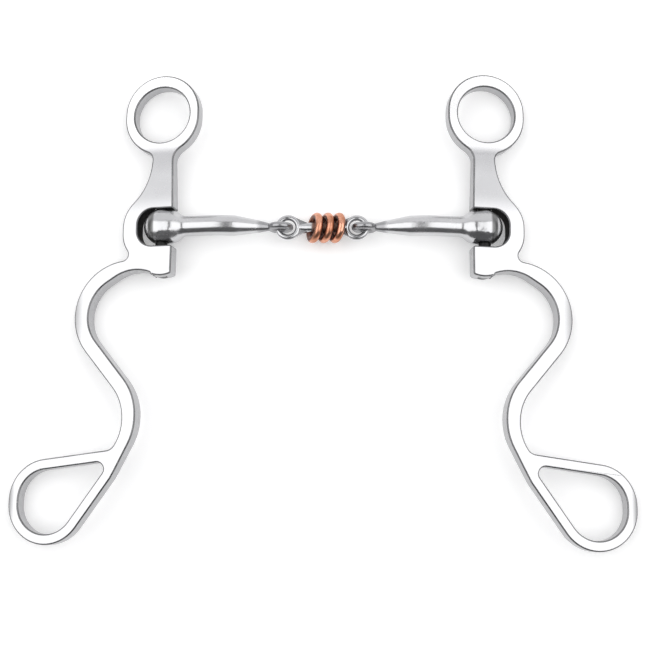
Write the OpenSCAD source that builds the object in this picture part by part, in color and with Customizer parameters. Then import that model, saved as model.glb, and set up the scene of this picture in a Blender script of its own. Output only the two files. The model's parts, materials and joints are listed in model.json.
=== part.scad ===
// Western shanked bit with a three-piece snaffle mouth and loose copper rings.
// It lies on a flat surface: on its two mouth balls, its two headstall rings and the bows of its shanks.
// A cheek is drawn in its own flat frame: x outward from its pivot, y towards the headstall ring,
// z up through its thickness. The mouth lies along x.

/* [Whole bit] */
// Distance between the two cheek pivots, the mouth width plus the slot depth
pivot_spacing = 133.4; // [115:0.5:160]

/* [Headstall ring] */
// Diameter of the hole that takes the headstall strap
ring_bore_d = 24; // [18:0.5:27]
// Width of the metal on both sides of the hole
ring_wall = 4.1; // [3:0.1:6]
// How much taller than wide the ring is outside
ring_tall = 2.2; // [0.2:0.1:3]
// Thickness of the ring
ring_thick = 5.8; // [5:0.1:7]
// Height of the ring's centre above the pivot, along the cheek
ring_rise = 47.2; // [44:0.1:60]
// Offset of the ring's centre towards the mouth
ring_inset = 0.1; // [0:0.1:2]
// Step of the purchase out of the cheek's plane, which keeps the ring off the horse's face
ring_joggle = 2.4; // [1:0.1:5]
// Distance from the slot up to the foot of that step
step_foot = 1.5; // [1:0.1:3]
// Distance from the head of that step up to the ring
step_head = 0.5; // [0.2:0.1:2]

/* [Purchase] */
// Distance from the pivot to the straight inner edge of the cheek
inner_edge = 5.6; // [4.5:0.1:6.5]
// Distance from the pivot to the outer edge at the narrowest place
waist_out = 3.5; // [3:0.1:5]
// Height of the narrowest place above the pivot
waist_rise = 29.3; // [26:0.1:30]
// Hollow radius between the purchase and the ring, on the outer side
ring_hollow_out = 3.5; // [2.5:0.1:6]
// Hollow radius between the purchase and the ring, on the inner side
ring_hollow_in = 6.5; // [3:0.1:7]

/* [Pivot block] */
// Thickness of the cheek at the block and down the shank
plate_thick = 7; // [6.4:0.1:8]
// Radius of the round outer side of the block
block_r = 13.9; // [13.3:0.1:17]
// Distance from the pivot to the centre of that round
block_x = 2.2; // [0:0.1:3]
// Radius of the block's lower shoulder, where the shank leaves it
shoulder_r = 12.9; // [12:0.1:13.5]
// Distance from the pivot down to the centre of the shoulder
shoulder_drop = 3; // [2:0.1:4]
// Distance from the pivot to the lower end of the block
block_drop = 21.2; // [20:0.1:22]
// Radius of the curved lower end
boss_r = 11.5; // [10:0.5:13]
// Offset of the curved lower end towards the mouth
boss_inset = 1.2; // [0:0.1:2]
// Height of the slot that the ball sits in
slot_height = 15.8; // [15.4:0.1:16.4]
// How far the middle of the slot lies below the pivot's middle
slot_drop = 0.6; // [0:0.1:0.7]
// Depth of the slot past the pivot
slot_depth = 9.6; // [9:0.1:11]
// Corner radius at the closed end of the slot
slot_corner_r = 6.6; // [4:0.1:7.4]
// Hollow radius between the block and the shank
block_fillet = 2.6; // [2:0.1:4]

/* [Shank] */
// Radius of both ends of the upper bow, inside
bow_in_r = 16.5; // [15.5:0.1:18]
// Flat between these ends, outward
bow_flat_x = 3.6; // [2:0.1:5]
// Flat between these ends, down
bow_flat_drop = 2.3; // [1:0.1:3]
// Radius of the upper bow, outside
bow_out_r = 23.2; // [22:0.1:25]
// Furthest reach of the inside of the bow, outward from the pivot
bow_in_reach = 29.6; // [28:0.1:31]
// Furthest reach of the outside of the bow, outward from the pivot
bow_out_reach = 35.7; // [34:0.1:38]
// Distance from the pivot down to the middle of the upper bow
bow_drop = 37.4; // [36:0.1:39]
// Radius of the lower bend on the side towards the mouth
bend_in_r = 24; // [22:0.1:26]
// Radius of the lower bend on the outer side
bend_out_r = 19.5; // [18:0.1:21]
// Nearest place of the lower bend to the pivot's line
bend_in_near = 7.3; // [6:0.1:8.5]
// Nearest place of the bend's outer side to the pivot's line
bend_out_near = 13.2; // [12:0.1:15]
// Distance from the pivot down to the middle of the lower bend
bend_drop = 79.4; // [77:0.1:82]
// How far the bend's inner side lies above that middle and its outer side below it
bend_skew = 0.5; // [0:0.1:1]

/* [Rein loop] */
// Thickness of the rein loop
loop_thick = 6; // [5:0.1:7]
// How far the middle of the loop's thickness lies below the shank's
loop_set = 1; // [0:0.1:1.2]
// Radius of the round end of the loop's hole
loop_r = 12.2; // [11:0.1:14]
// How much taller than wide the round end is
loop_tall = 1.7; // [0.2:0.1:3]
// Radius of the narrow end of the loop's hole
loop_tip_r = 2.8; // [2:0.1:4]
// Width of the metal round the loop
loop_wall = 4.3; // [3.5:0.1:6]
// Centre of the round end, outward from the pivot
loop_x = 44.9; // [42:0.1:50]
// Centre of the round end, down from the pivot
loop_drop = 113.2; // [110:0.2:120]
// Centre of the narrow end, outward from the pivot
loop_tip_x = 23.5; // [22.5:0.1:25]
// Centre of the narrow end, down from the pivot
loop_tip_drop = 100.2; // [99:0.1:102]
// Hollow radius between the shank and the top of the loop
loop_fillet = 4.5; // [3:0.1:5]

/* [Pivot pin] */
// Diameter of the pin
pin_d = 5; // [4:0.1:6]
// How far the pin reaches into the purchase above the slot
pin_reach = 9; // [6:0.1:11]
// How far the pin's lower end sits inside the block
pin_recess = 0.3; // [0.1:0.1:1]
// Radial clearance of the pin in the cheek, a tight fit
pin_tight = 0.02; // [0.01:0.01:0.05]
// Radial clearance of the pin in the ball, a running fit
pin_running = 0.08; // [0.04:0.01:0.1]

/* [Mouthpiece arm] */
// Diameter of the ball that the cheek turns on
ball_d = 14.9; // [14:0.1:15.2]
// Length by which the ball is drawn out towards the bar
ball_stretch = 3.4; // [2:0.1:4]
// How much smaller the drawn-out end of the ball is, in radius
ball_taper = 0.4; // [0.2:0.1:1]
// Diameter of the bar
bar_d = 8.5; // [7:0.1:10]
// Hollow radius between the ball and the bar
neck_fillet = 4.5; // [3:0.1:6]
// Slope of the bar up from the ball and down to the eye, in degrees
arch_angle = 9; // [6:0.5:12]
// Radius of the bend at the top of the arch
arch_r = 30; // [20:1:40]
// Length of the taper between the bar and the eye's neck
taper_length = 10; // [8:0.1:11]
// Diameter of the eye's neck
eye_neck_d = 5.2; // [4.4:0.1:6]
// Length over which the neck thins into the eye
eye_neck_length = 5; // [4:0.1:6]
// Diameter of the wire of the arm's eye
arm_eye_wire = 3; // [2.6:0.1:3.2]
// Diameter of the hole in the arm's eye
arm_eye_hole = 4.9; // [4.6:0.1:5.4]
// Clearance between the arm's eye and the link's eye, with the arm pushed in
eye_clearance = 0.4; // [0.3:0.05:0.6]

/* [Centre link] */
// Distance between the centres of the link's two eyes
link_eye_spacing = 28.4; // [26:0.2:32]
// Diameter of the hole in the link's eye
link_eye_hole = 6; // [5.6:0.1:6.6]
// Diameter of the wire of the link's eye
link_eye_wire = 2.3; // [2:0.1:2.6]
// Diameter of the link's bar
link_bar_d = 4; // [3:0.1:4.4]
// Length over which the bar thins into the eye
link_neck_length = 4; // [3:0.1:5]
// Thickness of the flat shoulders between the bar and the eye
link_shoulder_thick = 1.6; // [1.2:0.1:1.7]
// How far the edge of a shoulder lies inside the edges of the eye and the bar that it joins
link_shoulder_inset = 0.4; // [0.3:0.05:0.6]

/* [Copper rings] */
// Diameter of the wire of a copper ring
copper_wire = 3.2; // [2.6:0.1:3.4]
// Diameter of the hole in a copper ring
copper_hole = 6.5; // [6.3:0.1:7]
// Distance between two copper rings along the bar
copper_pitch = 4.6; // [4.4:0.1:5]
// Lean of the copper rings along the bar, in degrees
copper_lean = 25; // [15:1:27]
// Turn of the copper rings about the vertical, in degrees
copper_turn = 6.5; // [0:0.5:10]
// Distance of the middle copper ring from the middle of the link
copper_offset = 1.4; // [0:0.1:1.6]
// How far the copper rings hang below the bar's centre
copper_hang = 0.5; // [0.1:0.05:0.5]

/* [Hidden] */
$fn = 96;
// Overlap that keeps a cut from ending flush with a face
cut = 1;
// Angle between two points of an outline's arc
arc_step = 5;
// Round at the block's lower inner corner
edge_round = 1;
// How far the arm's bend stands out from the bar, whose ends reach into the bend
bend_proud = 0.03;
bend_overlap = 1;
steel = "#c9cbcd";
bright_steel = "#dfe1e3";
copper = "#c0713f";

pivot_x = pivot_spacing / 2;
ball_r = ball_d / 2;
slot_half = slot_height / 2;
slot_top = slot_half - slot_drop;
ring_r = ring_bore_d / 2 + ring_wall;
loop_outer_r = loop_r + loop_wall;

// The cheek's outline as a belt round these circles, each [x, y, radius]. A circle with a
// negative radius is a hollow: the belt runs round it the other way.
ring_low = [-ring_inset, ring_rise - ring_tall / 2, ring_r];
ring_high = [-ring_inset, ring_rise + ring_tall / 2, ring_r];
inner_hollow = ring_hollow(-inner_edge - ring_hollow_in, ring_hollow_in);
outer_hollow = ring_hollow(waist_out + ring_hollow_out, ring_hollow_out);
boss_circle = [-boss_inset, boss_r - block_drop, boss_r];
block_corner = corner_circle(edge_round);
bow_in = [bow_in_reach - bow_in_r, -bow_drop, -bow_in_r];
bow_start = [bow_in[0] - bow_flat_x, bow_in[1] + bow_flat_drop, -bow_in_r];
bend_in = [bend_in_near + bend_in_r, bend_skew - bend_drop, bend_in_r];
loop_tip = [loop_tip_x, -loop_tip_drop, loop_tip_r + loop_wall];
loop_low = [loop_x, -loop_drop - loop_tall / 2, loop_outer_r];
loop_high = [loop_x, -loop_drop + loop_tall / 2, loop_outer_r];
bend_out = [bend_out_near + bend_out_r, -bend_skew - bend_drop, -bend_out_r];
bow_out = [bow_out_reach - bow_out_r, -bow_drop, bow_out_r];
block_round = [block_x, 0, block_r];
shoulder_circle = [block_x + block_r - shoulder_r, -shoulder_drop, shoulder_r];
waist_hollow = waist_circle();
loop_hollow = crotch_circle();
block_hollow = block_hollow_circle();
cheek_belt = [
    ring_high, ring_low, inner_hollow, block_corner, boss_circle, bow_start, bow_in, bend_in,
    loop_tip, loop_low, loop_high, loop_hollow, bend_out, bow_out, block_hollow, shoulder_circle,
    block_round, waist_hollow, outer_hollow, ring_low
];
loop_hole_belt = [
    [loop_tip_x, -loop_tip_drop, loop_tip_r], [loop_x, loop_low[1], loop_r], [loop_x, loop_high[1], loop_r]
];

// The mouth: the link's end wire is the hinge of each arm
link_eye_x = link_eye_spacing / 2;
link_eye_mean = (link_eye_hole + link_eye_wire) / 2;
hinge_x = link_eye_x + link_eye_mean;
arm_eye_mean = (arm_eye_hole + arm_eye_wire) / 2;
arm_eye_x = hinge_x + link_eye_wire / 2 + eye_clearance - arm_eye_hole / 2;
arm_span = pivot_x - arm_eye_x;
// Straight lengths on both sides of the arch's bend, which are equal
arch_leg = (arm_span - 2 * arch_r * sin(arch_angle)) / (2 * cos(arch_angle));
neck_start = ball_stretch + neck_reach(ball_r - ball_taper + neck_fillet, bar_d / 2 + neck_fillet);
copper_mean = (copper_hole + copper_wire) / 2;

// How the bit lies: slopes of a cheek outward and towards its ring. It touches the surface with
// its ball, its ring and the bow of its shank.
rest = rest_slopes(0.2, 20);
lie_pitch = asin(rest[1]);
cheek_tilt = asin(rest[0] / cos(lie_pitch));
rest_y = -(far_y(ring_high[1], ring_r, ring_joggle, ring_thick, 1)
    + far_y(loop_low[1], loop_outer_r, -loop_set, loop_thick, -1)) / 2;

// ---------- outlines ----------

function centre(c) = [c[0], c[1]];
function heading(from, to) = atan2(to[1] - from[1], to[0] - from[0]);
function level(v) = max(-1, min(1, v));
function wrapped(a) = a - 360 * floor(a / 360);

// Direction of the straight run of the belt from circle a to circle b
function run(a, b) = heading(a, b) - asin(level((b[2] - a[2]) / norm(centre(b) - centre(a))));

// Points of the belt round circle c, from direction t0 to direction t1
function belt_arc(c, t0, t1) =
    let (turn = c[2] > 0 ? wrapped(t1 - t0) : -wrapped(t0 - t1))
    let (n = max(1, ceil(abs(turn) / arc_step)))
    c[2] == 0 ? [centre(c)]
    : [for (i = [0:n]) let (t = t0 + turn * i / n) centre(c) + c[2] * [sin(t), -cos(t)]];

function belt(circles) =
    let (n = len(circles), runs = [for (i = [0:n - 1]) run(circles[i], circles[(i + 1) % n])])
    [for (i = [0:n - 1]) each belt_arc(circles[i], runs[(i + n - 1) % n], runs[i])];

// Hollow of radius r beside the ring, with its centre at x and touching the ring
function ring_hollow(x, r) =
    [x, ring_low[1] - sqrt(pow(ring_r + r, 2) - pow(x + ring_inset, 2)), -r];

// Small round of radius r at the block's lower inner corner
function corner_circle(r) =
    let (x = r - inner_edge)
    [x, boss_circle[1] - sqrt(pow(boss_r - r, 2) - pow(x + boss_inset, 2)), r];

// Hollow outer side of the purchase: upright at the waist and touching the block's round
function waist_circle() =
    let (k = waist_out - block_x)
    let (r = (waist_rise * waist_rise + k * k - block_r * block_r) / (2 * (block_r - k)))
    [waist_out + r, waist_rise, -r];

// Centre that lies at distances ra and rb from the centres of a and b, on side s
function meeting(a, ra, b, rb, s) =
    let (d = norm(centre(b) - centre(a)), t = acos((ra * ra + d * d - rb * rb) / (2 * ra * d)))
    centre(a) + ra * [cos(heading(a, b) + s * t), sin(heading(a, b) + s * t)];

function block_hollow_circle() =
    let (p = meeting(shoulder_circle, shoulder_r + block_fillet, bow_out, bow_out_r + block_fillet, 1))
    [p[0], p[1], -block_fillet];

// Hollow in the crotch: it touches the top of the loop and the inside of the lower bend
function crotch_circle() =
    let (t = run(loop_high, loop_tip), along = [cos(t), sin(t)], up = [sin(t), -cos(t)])
    let (from = centre(loop_high) + (loop_outer_r + loop_fillet) * up - centre(bend_out))
    let (k = from * along, reach = bend_out_r - loop_fillet)
    let (p = centre(bend_out) + from + (sqrt(k * k - from * from + reach * reach) - k) * along)
    [p[0], p[1], -loop_fillet];

// Length from the ball's drawn-out end to the end of its hollow
function neck_reach(r, h) = sqrt(r * r - h * h);

// ---------- how it lies ----------

// Slopes [outward, towards the ring] at which ball, ring and bow all touch the surface.
// The total slope q is found by steps, because the rims that touch depend on it.
function slopes_at(q) =
    let (c = sqrt(1 - q * q))
    let (ring_h = ball_r + (ring_joggle - ring_thick / 2) * c - ring_r * q)
    let (bow_h = ball_r - plate_thick / 2 * c - bow_out_r * q)
    let (d = ring_inset * bow_drop - ring_high[1] * bow_out[0])
    [-(ring_h * bow_drop + bow_h * ring_high[1]) / d,
     (-ring_inset * bow_h - bow_out[0] * ring_h) / d];
function rest_slopes(q, n) =
    n == 0 ? slopes_at(q) : rest_slopes(q + (norm(slopes_at(q)) - q) / 4, n - 1);

// Furthest y of a round end of the cheek as it lies, in direction s
function far_y(y, r, z, thick, s) =
    y * cos(lie_pitch) + s * r * cos(lie_pitch) + z * sin(lie_pitch) + s * thick / 2 * sin(lie_pitch);

module lying() {
    translate([0, rest_y, ball_r]) rotate([-lie_pitch, 0, 0]) children();
}

// side is -1 for the left and 1 for the right
module on_side(side) {
    if (side < 0) mirror([1, 0, 0]) children();
    else children();
}

module at_cheek(side) {
    lying() on_side(side) translate([pivot_x, 0, 0]) rotate([0, cheek_tilt, 0]) children();
}

// The arm is drawn from its ball towards the link, along +x
module at_arm(side) {
    lying() on_side(side) translate([pivot_x, 0, 0]) mirror([1, 0, 0]) children();
}

module along_x() {
    rotate([0, 90, 0]) children();
}

module torus(mean_r, wire_d) {
    rotate_extrude() translate([mean_r, 0]) circle(d = wire_d);
}

// ---------- cheek ----------

module slot_outline() {
    straight = slot_half - slot_corner_r;
    mouth = -inner_edge - cut;
    translate([0, -slot_drop]) polygon(belt([
        [mouth, slot_half, 0], [mouth, -slot_half, 0],
        [slot_depth - slot_corner_r, -straight, slot_corner_r],
        [slot_depth - slot_corner_r, straight, slot_corner_r]
    ]));
}

module cheek_outline() {
    difference() {
        polygon(belt(cheek_belt));
        translate([-ring_inset, ring_rise]) circle(d = ring_bore_d);
        slot_outline();
        polygon(belt(loop_hole_belt));
    }
}

// Side view: flat at the block and shank, stepped up to the ring and thinned down to the loop
module cheek_side() {
    top = ring_high[1] + ring_r + cut;
    step_low = slot_top + step_foot;
    step_high = ring_low[1] - ring_r - step_head;
    low = loop_low[1] - loop_outer_r - cut;
    upper = ring_joggle + ring_thick / 2;
    under = ring_joggle - ring_thick / 2;
    loop_upper = loop_thick / 2 - loop_set;
    loop_under = -loop_thick / 2 - loop_set;
    polygon([
        [top, upper], [step_high, upper], [step_low, plate_thick / 2], [-bend_drop, plate_thick / 2],
        [-loop_tip_drop, loop_upper], [low, loop_upper], [low, loop_under], [-loop_tip_drop, loop_under],
        [-bend_drop, -plate_thick / 2], [step_low, -plate_thick / 2], [step_high, under], [top, under]
    ]);
}

module cheek(side) {
    height = 2 * (ring_joggle + plate_thick);
    width = 2 * (loop_x + loop_outer_r + cut);
    color(bright_steel) at_cheek(side) difference() {
        intersection() {
            linear_extrude(height, center = true) cheek_outline();
            rotate([90, 0, 90]) linear_extrude(width, center = true) cheek_side();
        }
        translate([0, -block_drop - cut, 0]) rotate([-90, 0, 0]) {
            cylinder(r = pin_d / 2 + pin_tight, h = block_drop + cut + slot_top + pin_reach);
        }
    }
}

module pivot_pin(side) {
    length = block_drop + slot_top + pin_reach - 2 * pin_recess;
    color(steel) at_cheek(side) {
        translate([0, pin_recess - block_drop, 0]) rotate([-90, 0, 0]) cylinder(d = pin_d, h = length);
    }
}

// ---------- mouthpiece ----------

// Half section of the ball, its neck and the bar, as [along, radius] turned to [radius, along]
module ball_profile(length) {
    big = [0, 0, ball_r];
    small = [ball_stretch, 0, ball_r - ball_taper];
    hollow = [neck_start, bar_d / 2 + neck_fillet, -neck_fillet];
    points = belt([[length, 0, 0], [length, bar_d / 2, 0], hollow, small, big, [-ball_r, 0, 0]]);
    polygon([for (p = points) [max(0, p[1]), p[0]]]);
}

// Half section from the arm's eye back to the bar
module taper_profile(length) {
    polygon([
        [0, 0], [arm_eye_wire / 2, 0], [eye_neck_d / 2, eye_neck_length],
        [bar_d / 2, eye_neck_length + taper_length], [bar_d / 2, length], [0, length]
    ]);
}

module mouthpiece_arm(side) {
    color(steel) at_arm(side) difference() {
        union() {
            rotate([0, -arch_angle, 0]) along_x() rotate_extrude() ball_profile(arch_leg + bend_overlap);
            // bend at the top of the arch
            translate([arm_span / 2, 0, arch_leg * sin(arch_angle) - arch_r * cos(arch_angle)]) {
                rotate([90, 0, 0]) rotate([0, 0, 90 - arch_angle]) {
                    rotate_extrude(angle = 2 * arch_angle) translate([arch_r, 0]) circle(d = bar_d + 2 * bend_proud);
                }
            }
            translate([arm_span, 0, 0]) {
                rotate([0, arch_angle - 180, 0]) along_x() translate([0, 0, arm_eye_mean]) {
                    rotate_extrude() taper_profile(arch_leg - arm_eye_mean + bend_overlap);
                }
                rotate([90, 0, 0]) torus(arm_eye_mean, arm_eye_wire);
            }
        }
        rotate([90, 0, 0]) cylinder(r = pin_d / 2 + pin_running, h = ball_d + 2 * cut, center = true);
    }
}

// Shoulders that spread from the bar to both sides of the eye
module link_shoulders(root) {
    wide = link_eye_mean + link_eye_wire / 2 - link_shoulder_inset;
    narrow = link_bar_d / 2 - link_shoulder_inset;
    difference() {
        linear_extrude(link_shoulder_thick, center = true) {
            polygon(belt([[link_eye_x, 0, wide], [root - link_neck_length, 0, narrow]]));
        }
        translate([link_eye_x, 0, 0]) cylinder(r = link_eye_mean, h = link_eye_wire, center = true);
    }
}

module link_end() {
    root = link_eye_x - link_eye_mean;
    link_shoulders(root);
    along_x() translate([0, 0, root - link_neck_length]) {
        cylinder(d1 = link_bar_d, d2 = link_eye_wire, h = link_neck_length);
    }
    translate([link_eye_x, 0, 0]) torus(link_eye_mean, link_eye_wire);
}

module centre_link() {
    bar = 2 * (link_eye_x - link_eye_mean - link_neck_length);
    color(steel) lying() {
        along_x() cylinder(d = link_bar_d, h = bar, center = true);
        link_end();
        mirror([1, 0, 0]) link_end();
    }
}

// place is -1, 0 or 1 along the bar
module copper_ring(place) {
    color(copper) lying() translate([copper_offset + place * copper_pitch, 0, -copper_hang]) {
        rotate([0, 0, -copper_turn]) rotate([0, 90 + copper_lean, 0]) torus(copper_mean, copper_wire);
    }
}

// ---------- nodes ----------

module left_cheek() { cheek(-1); }
module right_cheek() { cheek(1); }
module left_pivot_pin() { pivot_pin(-1); }
module right_pivot_pin() { pivot_pin(1); }
module left_mouthpiece_arm() { mouthpiece_arm(-1); }
module right_mouthpiece_arm() { mouthpiece_arm(1); }
module left_copper_ring() { copper_ring(-1); }
module middle_copper_ring() { copper_ring(0); }
module right_copper_ring() { copper_ring(1); }

left_cheek();
right_cheek();
left_pivot_pin();
right_pivot_pin();
left_mouthpiece_arm();
right_mouthpiece_arm();
centre_link();
left_copper_ring();
middle_copper_ring();
right_copper_ring();
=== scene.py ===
"""Looks for a western shanked bit with a three-piece mouth and copper rings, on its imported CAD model."""
import json
import math

import bpy
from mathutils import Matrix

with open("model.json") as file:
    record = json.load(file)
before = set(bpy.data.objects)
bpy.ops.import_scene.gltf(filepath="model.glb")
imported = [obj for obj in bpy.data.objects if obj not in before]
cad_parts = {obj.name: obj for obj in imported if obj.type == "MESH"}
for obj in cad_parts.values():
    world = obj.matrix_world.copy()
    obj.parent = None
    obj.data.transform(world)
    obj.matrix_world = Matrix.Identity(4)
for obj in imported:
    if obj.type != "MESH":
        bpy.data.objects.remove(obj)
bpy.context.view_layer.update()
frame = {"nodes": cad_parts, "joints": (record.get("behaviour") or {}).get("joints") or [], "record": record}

MM = 0.001
CHEEKS = ("left_cheek", "right_cheek")
ARMS = ("left_mouthpiece_arm", "right_mouthpiece_arm")
PINS = ("left_pivot_pin", "right_pivot_pin")
COPPER_RINGS = ("left_copper_ring", "middle_copper_ring", "right_copper_ring")

# From the frame: the right cheek's pivot, which is level with the middle of the mouth, the middle of the
# three copper rings along the link's bar, and how a cheek lies, in radians: the pitch of the whole bit and
# the tilt of the cheek
places = {joint["name"]: joint["pos_m"] for joint in frame["joints"]}
facing = {mount["name"]: mount["axis"] for mount in frame["record"]["mounts"]}
PIVOT_X, MOUTH_Y, MOUTH_Z = places["right_cheek_swivel"]
COPPER_X = places["middle_copper_spin"][0]
face_x, face_y, face_z = facing["right_headstall_ring"]
LIE_PITCH = math.atan2(face_y, face_z)
CHEEK_TILT = math.asin(face_x)

# The painted shade in a cheek's slot, which ends 0.1 mm behind the slot's walls: how far out from the pivot
# it goes, the slot's middle along the cheek, and how far the shade goes along it both ways. SLOT_FADE is
# half of its soft edge.
SLOT_DARK_OUT = 9.7 * MM
SLOT_MIDDLE = -0.6 * MM
SLOT_DARK_ALONG = 8 * MM
SLOT_FADE = 0.05 * MM

# Most of a noise texture's values lie between these
NOISE_LOW = 0.35
NOISE_HIGH = 0.65

# The photograph's width and its lens's focal length, both in pixels, and the width of the sensor that stands
# for it. The camera's place is in metres and its turn in degrees.
PHOTO_WIDTH = 650
FOCAL_PIXELS = 1209.2
SENSOR_WIDTH = 36
CAMERA_PLACE = (22 * MM, -59.1 * MM, 500 * MM)
CAMERA_TURN = (5.99, 2.33, 0.547)

# Finish of the meshes: points this near are one, and faces this near to one plane are one. Edges sharper
# than SHARP_ANGLE stay sharp or are rounded, this wide and in this many steps. Angles are in degrees.
WELD_DISTANCE = 0.002 * MM
FLAT_ANGLE = 0.4
SHARP_ANGLE = 35
CHEEK_ROUNDING = 0.6 * MM
PIN_ROUNDING = 0.3 * MM
ROUNDING_STEPS = 4

# The floor's size in metres, and how far it lies below the bit
FLOOR_SIZE = 6
FLOOR_DROP = 0.2 * MM

# The two softboxes stand a metre from the bit: their size across and along the bit in metres, how far they
# are set along it, their lean from upright in degrees and their power in watts
SOFTBOX_ACROSS = 1.13
SOFTBOX_ALONG = 1.12
SOFTBOX_Y = 0.01
SOFTBOX_LEAN = 37.5
SOFTBOX_POWER = 6.6


# ---------- camera ----------

def add_camera():
    data = bpy.data.cameras.new("camera")
    camera = bpy.data.objects.new("camera", data)
    bpy.context.collection.objects.link(camera)
    camera.location = CAMERA_PLACE
    camera.rotation_euler = [math.radians(angle) for angle in CAMERA_TURN]
    data.sensor_width = SENSOR_WIDTH
    data.lens = FOCAL_PIXELS / PHOTO_WIDTH * SENSOR_WIDTH
    data.clip_start = 0.01
    bpy.context.scene.camera = camera


# ---------- material tools ----------

class ShaderTree:
    """A tree of shader nodes, with short calls for adding and joining them."""

    def __init__(self, tree):
        self.tree = tree
        tree.nodes.clear()

    def add(self, kind, inputs=None, **settings):
        node = self.tree.nodes.new("ShaderNode" + kind)
        for key, value in settings.items():
            setattr(node, key, value)
        for key, value in (inputs or {}).items():
            if isinstance(value, bpy.types.NodeSocket):
                self.tree.links.new(value, node.inputs[key])
            else:
                node.inputs[key].default_value = value
        return node

    def noise(self, place, scale, detail=3.0, roughness=0.5, turn=None, stretch=None):
        """Noise from 0 to 1, on a turned and stretched place where those are given."""
        if stretch:
            mapping = {"Vector": place, "Rotation": turn, "Scale": stretch}
            place = self.add("Mapping", mapping).outputs[0]
        inputs = {"Vector": place, "Scale": scale, "Detail": detail, "Roughness": roughness}
        return self.add("TexNoise", inputs).outputs[0]

    def span(self, value, low, high, to_low, to_high, smooth=False):
        """The value carried from one range to another, and held at the ends."""
        kind = "SMOOTHSTEP" if smooth else "LINEAR"
        inputs = {"Value": value, "From Min": low, "From Max": high, "To Min": to_low, "To Max": to_high}
        return self.add("MapRange", inputs, interpolation_type=kind).outputs[0]

    def ramp(self, value, zero, one):
        """0 where the value is at zero, 1 where it is at one, and straight between them."""
        return self.span(value, zero, one, 0, 1)

    def ease(self, value, zero, one):
        """0 where the value is at zero, 1 where it is at one, and smooth between them."""
        return self.span(value, zero, one, 0, 1, True)

    def blend(self, factor, first, second):
        """Between two colours, each a socket or red, green and blue."""
        node = self.add("Mix", data_type="RGBA")
        # A Mix node has its sockets for colours after those for numbers and vectors
        for socket, value in zip((node.inputs[0], node.inputs[6], node.inputs[7]), (factor, first, second)):
            if isinstance(value, bpy.types.NodeSocket):
                self.tree.links.new(value, socket)
            else:
                socket.default_value = (*value, 1)
        return node.outputs[2]

    def math(self, operation, *values):
        return self.add("Math", dict(enumerate(values)), operation=operation).outputs[0]

    def apart(self, vector):
        return self.add("SeparateXYZ", {0: vector}).outputs

    def bump(self, height, strength, distance, normal=None):
        inputs = {"Strength": strength, "Distance": distance, "Height": height}
        if normal:
            inputs["Normal"] = normal
        return self.add("Bump", inputs).outputs[0]

    def metal(self, colour, roughness, normal):
        inputs = {"Metallic": 1.0, "Base Color": colour, "Roughness": roughness, "Normal": normal}
        self.finish(self.add("BsdfPrincipled", inputs))

    def finish(self, shader, kind="Material"):
        self.tree.links.new(shader.outputs[0], self.add("Output" + kind).inputs[0])


def new_material(name):
    material = bpy.data.materials.new(name)
    material.use_nodes = True
    return material, ShaderTree(material.node_tree)


# ---------- steel ----------

def steel(name, light, dark, rough, grain, wave, areas=None, relief=None):
    """Polished stainless steel: fine crossed polishing lines, a faint cloud, and the polisher's soft waves.
    areas gives (mask, colour, added roughness) for places painted darker as shade or brighter as a
    highlight, some also rougher, and relief gives a height."""
    material, tree = new_material(name)
    coordinates = tree.add("TexCoord").outputs
    place = coordinates["Object"]
    cloud = tree.noise(place, 90, 4, 0.55)
    lines = tree.math("ADD", tree.noise(place, 1, 3, 0.5, (0, 0, 0.5), (220, 2600, 900)),
                      tree.noise(place, 1, 3, 0.5, (0, 0, -0.9), (300, 3200, 900)))
    colour = tree.blend(tree.ramp(cloud, NOISE_LOW, NOISE_HIGH), dark, light)
    roughness = tree.span(cloud, NOISE_LOW, NOISE_HIGH, *rough)
    for mask, tone, finish in (areas(tree, place, coordinates["Normal"]) if areas else ()):
        colour = tree.blend(mask, colour, tone)
        roughness = tree.math("ADD", roughness, tree.math("MULTIPLY", mask, finish))
    normal = tree.bump(lines, grain, 0.05 * MM)
    normal = tree.bump(tree.noise(place, 150, 1), wave, 0.1 * MM, normal)
    if relief:
        normal = tree.bump(relief(tree, place), 1.0, 0.3 * MM, normal)
    tree.metal(colour, roughness, normal)
    return material


def turned_to_cheek(tree, vector):
    """Turns a vector from how a cheek lies into the cheek's own flat frame."""
    for axis, angle in (((1, 0, 0), LIE_PITCH), ((0, 1, 0), -CHEEK_TILT)):
        inputs = {"Vector": vector, "Axis": axis, "Angle": angle}
        vector = tree.add("VectorRotate", inputs, rotation_type="AXIS_ANGLE").outputs[0]
    return tree.apart(vector)


def cheek_place(tree, place):
    """Place on either cheek in its own frame: outward from the pivot, towards the ring, through it."""
    apart = tree.apart(place)
    outward = tree.math("SUBTRACT", tree.math("ABSOLUTE", apart["X"]), PIVOT_X)
    level = tree.add("CombineXYZ", {0: outward, 1: tree.math("SUBTRACT", apart["Y"], MOUTH_Y),
                                    2: tree.math("SUBTRACT", apart["Z"], MOUTH_Z)})
    return turned_to_cheek(tree, level.outputs[0])


def off_slot_middle(tree, own):
    """Distance along a cheek from the middle of its slot."""
    return tree.math("ABSOLUTE", tree.math("SUBTRACT", own["Y"], SLOT_MIDDLE))


def painted_slot_shade_mask(tree, own):
    """Where a cheek's slot is painted dark as shade: 1 on the walls of its slot, and 0 on the rest of the
    cheek.
    """
    out = tree.ramp(own["X"], SLOT_DARK_OUT + SLOT_FADE, SLOT_DARK_OUT - SLOT_FADE)
    along = tree.ramp(off_slot_middle(tree, own), SLOT_DARK_ALONG + SLOT_FADE, SLOT_DARK_ALONG - SLOT_FADE)
    deep = tree.ramp(tree.math("ABSOLUTE", own["Z"]), 3.3 * MM, 3.0 * MM)
    return tree.math("MULTIPLY", out, tree.math("MULTIPLY", along, deep))


# The walls of a cheek are painted grey as shade, with this mask
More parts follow.
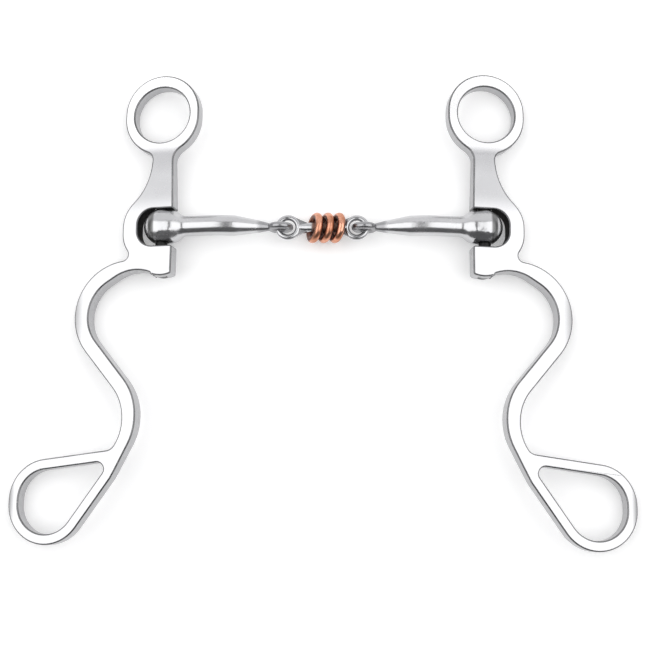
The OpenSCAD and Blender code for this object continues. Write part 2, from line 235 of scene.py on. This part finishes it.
def painted_wall_shade_mask(tree, place, normal):
    """1 on the walls that stand across a cheek's flat face, and 0 on the face."""
    side = tree.math("SIGN", tree.apart(place)["X"])
    apart = tree.apart(normal)
    outward = tree.math("MULTIPLY", apart["X"], side)
    mirrored = tree.add("CombineXYZ", {0: outward, 1: apart["Y"], 2: apart["Z"]})
    across = turned_to_cheek(tree, mirrored.outputs[0])["Z"]
    return tree.ramp(tree.math("ABSOLUTE", across), 0.5, 0.25)


def cheek_areas(tree, place, normal):
    """A ring painted bright as a highlight, brightest at its top; a rougher purchase painted darker as
    shade, with more painted shade under the ring; painted shade on the outer edges of the bow and the rein
    loop;
    satin walls painted grey as shade; and a rough slot painted dark as shade, but lighter at its low end."""
    own = cheek_place(tree, place)
    outward, along = own["X"], own["Y"]
    # Painted highlight: the ring is painted brighter, and brighter still towards its top
    ring = tree.ease(along, 34 * MM, 38 * MM)
    painted_ring_top_highlight = tree.ease(along, 48 * MM, 64 * MM)
    below_ring = tree.ease(along, 33.5 * MM, 29 * MM)
    # Painted shade: the purchase is painted darker, and darker still just under the ring
    purchase = tree.math("MULTIPLY", tree.ease(along, 4 * MM, 14 * MM), below_ring)
    shade = tree.math("MULTIPLY", tree.ease(along, 20 * MM, 28 * MM), below_ring)
    # Painted shade: the outer edges of the bow and the rein loop are painted grey
    bow_edge = tree.math("MULTIPLY", tree.ease(outward, 31 * MM, 36.4 * MM),
                         tree.ease(along, -60 * MM, -52 * MM))
    painted_outer_edge_shade = tree.math("MAXIMUM", bow_edge, tree.ease(outward, 58.4 * MM, 61 * MM))
    # Painted shade: the slot is painted nearly black, and its low end a lighter grey
    slot = painted_slot_shade_mask(tree, own)
    slot_low_end = tree.math("MULTIPLY", slot, tree.ease(along, -5 * MM, -7 * MM))
    return ((ring, (0.68, 0.68, 0.69), 0.0),
            (painted_ring_top_highlight, (0.90, 0.90, 0.91), 0.0),
            (purchase, (0.41, 0.41, 0.42), 0.08),
            (shade, (0.36, 0.36, 0.37), 0.04),
            (painted_outer_edge_shade, (0.26, 0.26, 0.265), 0.04),
            (painted_wall_shade_mask(tree, place, normal), (0.46, 0.46, 0.47), 0.10),
            (slot, (0.035, 0.034, 0.033), 0.5),
            (slot_low_end, (0.22, 0.22, 0.22), 0.0))


def arm_areas(tree, place, normal):
    """The side of the ball that turns in the slot and the neck of the eye, both a little rougher and painted
    darker as shade.
    """
    away = tree.math("ABSOLUTE", tree.apart(place)["X"])
    # Painted shade: the ball's end in the slot is painted dark
    painted_ball_shade_in_slot = tree.math("MULTIPLY", tree.ease(away, 68.8 * MM, 69.7 * MM),
                        tree.ease(away, 72.1 * MM, 71.4 * MM))
    # Painted shade: the neck of the eye is painted darker
    painted_eye_neck_shade = tree.ease(away, 27.5 * MM, 25 * MM)
    return ((painted_ball_shade_in_slot, (0.20, 0.20, 0.20), 0.08),
            (painted_eye_neck_shade, (0.34, 0.34, 0.35), 0.04))


def arm_relief(tree, place):
    """The uneven forged skin that is left on the lower side of the ball."""
    apart = tree.apart(place)
    on_ball = tree.ease(tree.math("ABSOLUTE", apart["X"]), 61 * MM, 63.5 * MM)
    below = tree.ease(apart["Y"], MOUTH_Y - 0.4 * MM, MOUTH_Y - 3 * MM)
    return tree.math("MULTIPLY", tree.math("MULTIPLY", on_ball, below), tree.noise(place, 430, 1))


def pin_areas(tree, place, normal):
    """The pin between the slot's ends, rougher and painted dark as shade; its ends in the cheek are bright.
    """
    # Painted shade on the pin between the slot's ends
    painted_pin_shade = tree.ramp(off_slot_middle(tree, cheek_place(tree, place)), 10 * MM, 9 * MM)
    return ((painted_pin_shade, (0.03, 0.03, 0.03), 0.1),)


def link_areas(tree, place, normal):
    """The middle of the link's bar under the copper rings, rougher and painted a dark brown as shade."""
    off_middle = tree.math("ABSOLUTE", tree.math("SUBTRACT", tree.apart(place)["X"], COPPER_X))
    # Painted shade: the bar is painted dark brown under the copper rings
    painted_shade_under_rings = tree.ease(off_middle, 6.2 * MM, 5.2 * MM)
    return ((painted_shade_under_rings, (0.24, 0.14, 0.11), 0.4),)


# ---------- copper ----------

def copper(name):
    """Bright copper wire, browner in patches, with painted shade where the rings face each other and the
    bar.
    """
    material, tree = new_material(name)
    coordinates = tree.add("TexCoord").outputs
    place = coordinates["Object"]
    cloud = tree.noise(place, 300, 4)
    colour = tree.blend(tree.ramp(cloud, NOISE_LOW, NOISE_HIGH), (0.47, 0.19, 0.105), (0.80, 0.40, 0.275))
    # Painted shade on the rings' sides that face each other and on their inner side that faces the bar
    sides = tree.ease(tree.math("ABSOLUTE", tree.apart(coordinates["Normal"])["X"]), 0.74, 0.94)
    apart = tree.apart(place)
    off_bar = tree.add("CombineXYZ", {1: tree.math("SUBTRACT", apart["Y"], MOUTH_Y),
                                      2: tree.math("SUBTRACT", apart["Z"], MOUTH_Z)})
    distance = tree.add("VectorMath", {0: off_bar.outputs[0]}, operation="LENGTH").outputs["Value"]
    inside = tree.ease(distance, 4.6 * MM, 4.0 * MM)
    colour = tree.blend(tree.math("MAXIMUM", sides, inside), colour, (0.130, 0.052, 0.036))
    roughness = tree.span(cloud, NOISE_LOW, NOISE_HIGH, 0.36, 0.22)
    tree.metal(colour, roughness, tree.bump(tree.noise(place, 1400, 3), 0.25, 0.1 * MM))
    return material


# ---------- the CAD nodes' finish ----------

def finish_node(name, material, rounding=None, edge_material=None):
    """Dresses a piece in its material. With rounding, its sharp edges are rounded, in edge_material where
    one is given."""
    node = frame["nodes"][name]
    node.data.materials.clear()
    node.data.materials.append(material)
    weld = node.modifiers.new("weld", "WELD")
    weld.merge_threshold = WELD_DISTANCE
    if rounding:
        flat = node.modifiers.new("flat", "DECIMATE")
        flat.decimate_type = "DISSOLVE"
        flat.angle_limit = math.radians(FLAT_ANGLE)
        edge = node.modifiers.new("edge", "BEVEL")
        edge.width = rounding
        edge.segments = ROUNDING_STEPS
        edge.limit_method = "ANGLE"
        edge.angle_limit = math.radians(SHARP_ANGLE)
        edge.use_clamp_overlap = False
        edge.miter_outer = "MITER_ARC"
        if edge_material:
            node.data.materials.append(edge_material)
            edge.material = 1
        flatten = node.modifiers.new("flatten", "WEIGHTED_NORMAL")
        flatten.weight = 100
    else:
        split = node.modifiers.new("split", "EDGE_SPLIT")
        split.split_angle = math.radians(SHARP_ANGLE)
    node.data.shade_smooth()


# ---------- floor and light ----------

def add_floor():
    """A white floor just under the bit, with a faint glow to the eye and in reflections."""
    bpy.ops.mesh.primitive_plane_add(size=FLOOR_SIZE, location=(0, 0, -FLOOR_DROP))
    floor = bpy.context.object
    floor.name = "floor"
    material, tree = new_material("floor")
    path = tree.add("LightPath").outputs
    seen = tree.math("MAXIMUM", tree.math("MAXIMUM", path["Is Camera Ray"], path["Is Glossy Ray"]),
                     path["Is Transmission Ray"])
    diffuse = tree.add("BsdfDiffuse", {"Color": (0.93, 0.93, 0.93, 1)})
    glow = tree.add("Emission", {"Color": (1, 1, 1, 1), "Strength": 0.22})
    both = tree.add("AddShader", {0: diffuse.outputs[0], 1: glow.outputs[0]})
    tree.finish(tree.add("MixShader", {0: seen, 1: diffuse.outputs[0], 2: both.outputs[0]}))
    floor.data.materials.append(material)


def add_world():
    """A dim studio, with a bright panel on the side of the headstall rings."""
    world = bpy.data.worlds.new("studio")
    bpy.context.scene.world = world
    world.use_nodes = True
    tree = ShaderTree(world.node_tree)
    way = tree.apart(tree.add("TexCoord").outputs["Generated"])
    panel = tree.ease(way["Y"], 0.35, 0.65)
    colour = tree.blend(panel, (0.13, 0.13, 0.133), (1.00, 1.00, 1.01))
    tree.finish(tree.add("Background", {"Color": colour, "Strength": 1.0}), "World")


def add_softbox(name, side):
    """A large softbox that leans in from one side, -1 for the left or 1 for the right."""
    lean = math.radians(SOFTBOX_LEAN)
    data = bpy.data.lights.new(name, "AREA")
    data.shape = "RECTANGLE"
    data.size = SOFTBOX_ACROSS
    data.size_y = SOFTBOX_ALONG
    data.energy = SOFTBOX_POWER
    light = bpy.data.objects.new(name, data)
    bpy.context.collection.objects.link(light)
    light.location = (side * math.sin(lean), SOFTBOX_Y, math.cos(lean))
    light.rotation_euler = (0, side * lean, 0)
    light.visible_camera = False


add_camera()
add_floor()
add_world()
add_softbox("left_softbox", -1)
add_softbox("right_softbox", 1)

cheek_steel = steel("cheek_steel", (0.62, 0.62, 0.63), (0.57, 0.57, 0.58), rough=(0.14, 0.22),
                    grain=0.05, wave=0.06, areas=cheek_areas)
# Painted shade: the rounded edges of the cheeks are painted dark, for the dark reflection along an edge
edge_shade_steel = steel("edge_shade_steel", (0.24, 0.24, 0.245), (0.16, 0.16, 0.165), rough=(0.22, 0.30),
                   grain=0.05, wave=0.06)
mouth_steel = steel("mouth_steel", (0.60, 0.60, 0.61), (0.54, 0.54, 0.55), rough=(0.20, 0.28),
                    grain=0.05, wave=0.22, areas=arm_areas, relief=arm_relief)
link_steel = steel("link_steel", (0.56, 0.56, 0.57), (0.48, 0.48, 0.49), rough=(0.16, 0.24),
                   grain=0.05, wave=0.15, areas=link_areas)
pin_steel = steel("pin_steel", (0.50, 0.50, 0.51), (0.44, 0.44, 0.45), rough=(0.30, 0.40),
                  grain=0.10, wave=0.10, areas=pin_areas)
copper_bright = copper("copper")
for name in CHEEKS:
    finish_node(name, cheek_steel, CHEEK_ROUNDING, edge_shade_steel)
for name in ARMS:
    finish_node(name, mouth_steel)
finish_node("centre_link", link_steel)
for name in PINS:
    finish_node(name, pin_steel, PIN_ROUNDING)
for name in COPPER_RINGS:
    finish_node(name, copper_bright)

bpy.context.scene.view_settings.view_transform = "Standard"
